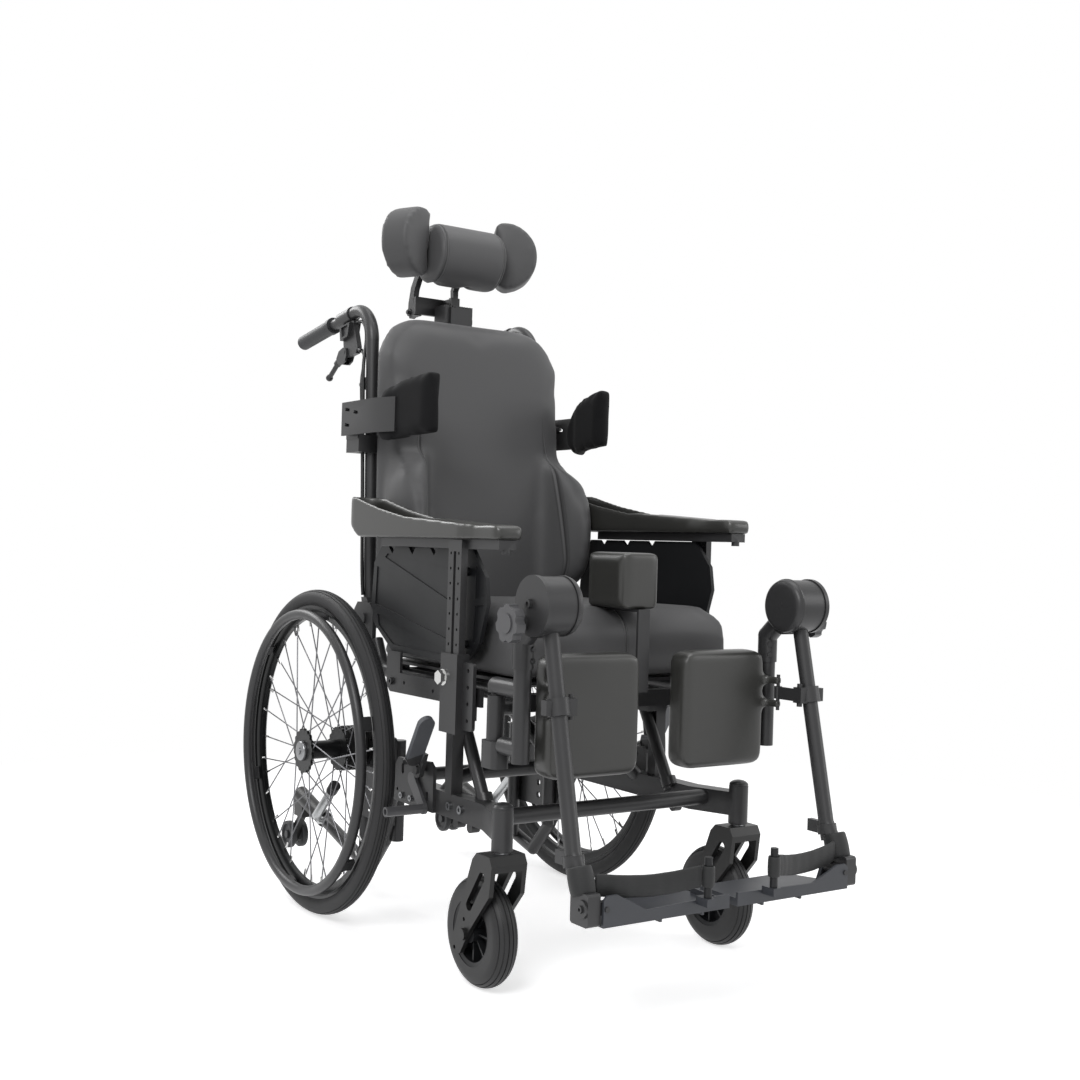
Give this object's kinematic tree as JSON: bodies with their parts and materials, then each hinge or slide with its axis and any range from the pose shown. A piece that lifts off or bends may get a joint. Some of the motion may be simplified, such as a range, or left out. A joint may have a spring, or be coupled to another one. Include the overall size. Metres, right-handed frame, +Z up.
{
  "type": "tilt in space wheelchair",
  "caption": "Tilt-in-space manual wheelchair with reclining back, headrest, trunk supports, height-adjustable armrests, elevating legrests, swivelling casters and spoked rear wheels",
  "frame": {"origin": "on the floor, midway between the front of the footplate posts and the ends of the push grips, on the chair's centre plane", "axes": "+Z up, -Y is the way the sitter faces, +X is the sitter's left"},
  "size_m": [0.683, 1.237, 1.373],
  "materials": {
    "frame_paint": "satin anthracite powder coat",
    "tyre": "matt grey-black rubber",
    "rim": "black anodised rim with bright spokes",
    "handrim": "smooth grey coating",
    "caster": "grooved grey-black rubber on a plastic rim",
    "chrome": "bright plated steel",
    "bare_tube": "satin light grey",
    "gas_spring": "black",
    "upholstery": "grey coated upholstery, matt",
    "soft_pad": "satin moulded foam skin",
    "neoprene": "matt black",
    "webbing": "black woven",
    "black_plastic": "fine grain",
    "grey_plastic": "satin",
    "footplate_grey": "blue-grey moulded",
    "red_plastic": "red",
    "cable": "black sheath"
  },
  "bodies": {
    "base": {"base_frame": "frame_paint", "rear_axles": "chrome", "frame_bolts": "chrome", "kerb_tubes": "bare_tube"},
    "seat": {"seat_frame": "frame_paint", "seat_cushion": "upholstery"},
    "cylinder": {"tilt_cylinder": "gas_spring"},
    "rod": {"tilt_rod": "chrome"},
    "pommel": {"pommel_bar": "frame_paint", "pommel_pad": "soft_pad"},
    "back": {"back_frame": "frame_paint", "back_cushion": "upholstery", "push_grips": "cable", "lateral_brackets": "frame_paint", "lateral_pads": "neoprene", "brake_cables": "cable"},
    "head_stem": {"headrest_stem": "frame_paint"},
    "head_roll": {"headrest_roll": "upholstery"},
    "rear_wheel_right": {"tyre_right": "tyre", "wheel_right": "rim", "handrim_right": "handrim"},
    "caster_fork_right": {"caster_fork_right": "frame_paint"},
    "caster_wheel_right": {"caster_wheel_right": "caster"},
    "parking_lever_right": {"parking_lever_right": "grey_plastic"},
    "parking_shoe_right": {"parking_shoe_right": "black_plastic"},
    "anti_tipper_right": {"anti_tipper_right": "frame_paint"},
    "anti_tip_wheels_right": {"anti_tip_wheels_right": "cable"},
    "release_button_right": {"release_button_right": "red_plastic"},
    "armrest_right": {"armrest_post_right": "frame_paint", "arm_pad_right": "soft_pad", "side_panel_right": "black_plastic"},
    "hanger_right": {"legrest_hanger_right": "frame_paint"},
    "knob_right": {"elevation_knob_right": "grey_plastic"},
    "lower_leg_right": {"lower_leg_right": "frame_paint", "heel_strap_right": "webbing"},
    "calf_pad_right": {"calf_pad_right": "soft_pad"},
    "footplate_right": {"footplate_right": "footplate_grey"},
    "hand_lever_right": {"hand_lever_right": "frame_paint"},
    "headrest_wing_right": {"headrest_wing_right": "upholstery"},
    "rear_wheel_left": {"tyre_left": "tyre", "wheel_left": "rim", "handrim_left": "handrim"},
    "caster_fork_left": {"caster_fork_left": "frame_paint"},
    "caster_wheel_left": {"caster_wheel_left": "caster"},
    "parking_lever_left": {"parking_lever_left": "grey_plastic"},
    "parking_shoe_left": {"parking_shoe_left": "black_plastic"},
    "anti_tipper_left": {"anti_tipper_left": "frame_paint"},
    "anti_tip_wheels_left": {"anti_tip_wheels_left": "cable"},
    "release_button_left": {"release_button_left": "red_plastic"},
    "armrest_left": {"armrest_post_left": "frame_paint", "arm_pad_left": "soft_pad", "side_panel_left": "black_plastic"},
    "hanger_left": {"legrest_hanger_left": "frame_paint"},
    "knob_left": {"elevation_knob_left": "grey_plastic"},
    "lower_leg_left": {"lower_leg_left": "frame_paint", "heel_strap_left": "webbing"},
    "calf_pad_left": {"calf_pad_left": "soft_pad"},
    "footplate_left": {"footplate_left": "footplate_grey"},
    "hand_lever_left": {"hand_lever_left": "frame_paint"},
    "headrest_wing_left": {"headrest_wing_left": "upholstery"}
  },
  "joints": [
    {"name": "seat_tilt", "type": "hinge", "parent": "base", "child": "seat", "pos_m": [0, -0.1235, 0.44], "axis": [-1, 0, 0], "range_deg": [0, 22]},
    {"name": "cylinder_swing", "type": "hinge", "parent": "base", "child": "cylinder", "pos_m": [0, -0.0835, 0.336], "axis": [-1, 0, 0], "range_deg": [0, 23]},
    {"name": "rod_slide", "type": "slide", "parent": "cylinder", "child": "rod", "axis": [0, 0.8889, 0.4581], "range_m": [-0.0426, 0]},
    {"name": "pommel_slide", "type": "slide", "parent": "seat", "child": "pommel", "axis": [0, -1, 0], "range_m": [0, 0.05]},
    {"name": "back_recline", "type": "hinge", "parent": "seat", "child": "back", "pos_m": [0, 0.2465, 0.556], "axis": [-1, 0, 0], "range_deg": [0, 30]},
    {"name": "headrest_height", "type": "slide", "parent": "back", "child": "head_stem", "axis": [0, 0, 1], "range_m": [0, 0.1]},
    {"name": "headrest_tilt", "type": "hinge", "parent": "head_stem", "child": "head_roll", "pos_m": [0, 0.2765, 1.288], "axis": [1, 0, 0], "range_deg": [-15, 15]},
    {"name": "rear_wheel_spin_right", "type": "hinge", "parent": "base", "child": "rear_wheel_right", "pos_m": [-0.3, 0.2565, 0.305], "axis": [1, 0, 0], "continuous": true},
    {"name": "caster_swivel_right", "type": "hinge", "parent": "base", "child": "caster_fork_right", "pos_m": [-0.247, -0.3285, 0.226], "axis": [0, 0, 1], "continuous": true},
    {"name": "caster_spin_right", "type": "hinge", "parent": "caster_fork_right", "child": "caster_wheel_right", "pos_m": [-0.247, -0.2765, 0.088], "axis": [1, 0, 0], "continuous": true},
    {"name": "parking_lever_turn_right", "type": "hinge", "parent": "base", "child": "parking_lever_right", "pos_m": [-0.244, -0.0555, 0.312], "axis": [1, 0, 0], "range_deg": [0, 50]},
    {"name": "parking_shoe_turn_right", "type": "hinge", "parent": "base", "child": "parking_shoe_right", "pos_m": [-0.244, -0.0185, 0.29], "axis": [1, 0, 0], "range_deg": [0, 13.6]},
    {"name": "anti_tipper_turn_right", "type": "hinge", "parent": "base", "child": "anti_tipper_right", "pos_m": [-0.19, 0.2315, 0.074], "axis": [0, -0.9666, -0.2562], "range_deg": [0, 180]},
    {"name": "anti_tip_wheels_spin_right", "type": "hinge", "parent": "anti_tipper_right", "child": "anti_tip_wheels_right", "pos_m": [-0.19, 0.5865, 0.072], "axis": [1, 0, 0], "continuous": true},
    {"name": "release_button_press_right", "type": "slide", "parent": "anti_tipper_right", "child": "release_button_right", "axis": [0, -1, 0], "range_m": [0, 0.004], "stiffness_N_per_m": 400},
    {"name": "armrest_height_right", "type": "slide", "parent": "seat", "child": "armrest_right", "axis": [0, 0, 1], "range_m": [0, 0.1]},
    {"name": "legrest_swing_right", "type": "hinge", "parent": "seat", "child": "hanger_right", "pos_m": [-0.254, -0.3095, 0.45], "axis": [0, 0, -1], "range_deg": [0, 90]},
    {"name": "legrest_raise_right", "type": "hinge", "parent": "hanger_right", "child": "lower_leg_right", "pos_m": [-0.256, -0.4505, 0.617], "axis": [-1, 0, 0], "range_deg": [0, 65]},
    {"name": "elevation_knob_turn_right", "type": "hinge", "parent": "hanger_right", "child": "knob_right", "pos_m": [-0.29, -0.4315, 0.59], "axis": [1, 0, 0], "continuous": true},
    {"name": "calf_pad_swing_right", "type": "hinge", "parent": "lower_leg_right", "child": "calf_pad_right", "pos_m": [-0.23, -0.4375, 0.47], "axis": [0, 0, -1], "range_deg": [0, 80]},
    {"name": "footplate_flip_right", "type": "hinge", "parent": "lower_leg_right", "child": "footplate_right", "pos_m": [-0.238, -0.5635, 0.197], "axis": [0, -1, 0], "range_deg": [0, 90], "deforming": ["heel_strap_right"]},
    {"name": "hand_lever_squeeze_right", "type": "hinge", "parent": "back", "child": "hand_lever_right", "pos_m": [-0.19, 0.3965, 1.088], "axis": [1, 0, 0], "range_deg": [0, 20], "stiffness_Nm_per_rad": 3},
    {"name": "headrest_wing_turn_right", "type": "hinge", "parent": "head_roll", "child": "headrest_wing_right", "pos_m": [-0.088, 0.3065, 1.288], "axis": [0, 0, -1], "range_deg": [0, 25]},
    {"name": "rear_wheel_spin_left", "type": "hinge", "parent": "base", "child": "rear_wheel_left", "pos_m": [0.3, 0.2565, 0.305], "axis": [1, 0, 0], "continuous": true},
    {"name": "caster_swivel_left", "type": "hinge", "parent": "base", "child": "caster_fork_left", "pos_m": [0.247, -0.3285, 0.226], "axis": [0, 0, 1], "continuous": true},
    {"name": "caster_spin_left", "type": "hinge", "parent": "caster_fork_left", "child": "caster_wheel_left", "pos_m": [0.247, -0.2765, 0.088], "axis": [1, 0, 0], "continuous": true},
    {"name": "parking_lever_turn_left", "type": "hinge", "parent": "base", "child": "parking_lever_left", "pos_m": [0.244, -0.0555, 0.312], "axis": [1, 0, 0], "range_deg": [0, 50]},
    {"name": "parking_shoe_turn_left", "type": "hinge", "parent": "base", "child": "parking_shoe_left", "pos_m": [0.244, -0.0185, 0.29], "axis": [1, 0, 0], "range_deg": [0, 13.6]},
    {"name": "anti_tipper_turn_left", "type": "hinge", "parent": "base", "child": "anti_tipper_left", "pos_m": [0.19, 0.2315, 0.074], "axis": [0, 0.9666, 0.2562], "range_deg": [0, 180]},
    {"name": "anti_tip_wheels_spin_left", "type": "hinge", "parent": "anti_tipper_left", "child": "anti_tip_wheels_left", "pos_m": [0.19, 0.5865, 0.072], "axis": [1, 0, 0], "continuous": true},
    {"name": "release_button_press_left", "type": "slide", "parent": "anti_tipper_left", "child": "release_button_left", "axis": [0, -1, 0], "range_m": [0, 0.004], "stiffness_N_per_m": 400},
    {"name": "armrest_height_left", "type": "slide", "parent": "seat", "child": "armrest_left", "axis": [0, 0, 1], "range_m": [-0.025, 0.075]},
    {"name": "legrest_swing_left", "type": "hinge", "parent": "seat", "child": "hanger_left", "pos_m": [0.254, -0.3095, 0.45], "axis": [0, 0, 1], "range_deg": [0, 90]},
    {"name": "legrest_raise_left", "type": "hinge", "parent": "hanger_left", "child": "lower_leg_left", "pos_m": [0.256, -0.4505, 0.617], "axis": [-1, 0, 0], "range_deg": [0, 65]},
    {"name": "elevation_knob_turn_left", "type": "hinge", "parent": "hanger_left", "child": "knob_left", "pos_m": [0.29, -0.4315, 0.59], "axis": [1, 0, 0], "continuous": true},
    {"name": "calf_pad_swing_left", "type": "hinge", "parent": "lower_leg_left", "child": "calf_pad_left", "pos_m": [0.23, -0.4375, 0.47], "axis": [0, 0, 1], "range_deg": [0, 80]},
    {"name": "footplate_flip_left", "type": "hinge", "parent": "lower_leg_left", "child": "footplate_left", "pos_m": [0.238, -0.5635, 0.197], "axis": [0, 1, 0], "range_deg": [0, 90], "deforming": ["heel_strap_left"]},
    {"name": "hand_lever_squeeze_left", "type": "hinge", "parent": "back", "child": "hand_lever_left", "pos_m": [0.19, 0.3965, 1.088], "axis": [1, 0, 0], "range_deg": [0, 20], "stiffness_Nm_per_rad": 3},
    {"name": "headrest_wing_turn_left", "type": "hinge", "parent": "head_roll", "child": "headrest_wing_left", "pos_m": [0.088, 0.3065, 1.288], "axis": [0, 0, 1], "range_deg": [0, 25]}
  ],
  "couplings": [
    {"joint": "cylinder_swing", "follows": "seat_tilt", "ratio": 1.0368},
    {"joint": "rod_slide", "follows": "seat_tilt", "m_per_rad": -0.11029},
    {"joint": "parking_shoe_turn_right", "follows": "parking_lever_turn_right", "ratio": 0.27},
    {"joint": "parking_shoe_turn_left", "follows": "parking_lever_turn_left", "ratio": 0.27}
  ]
}
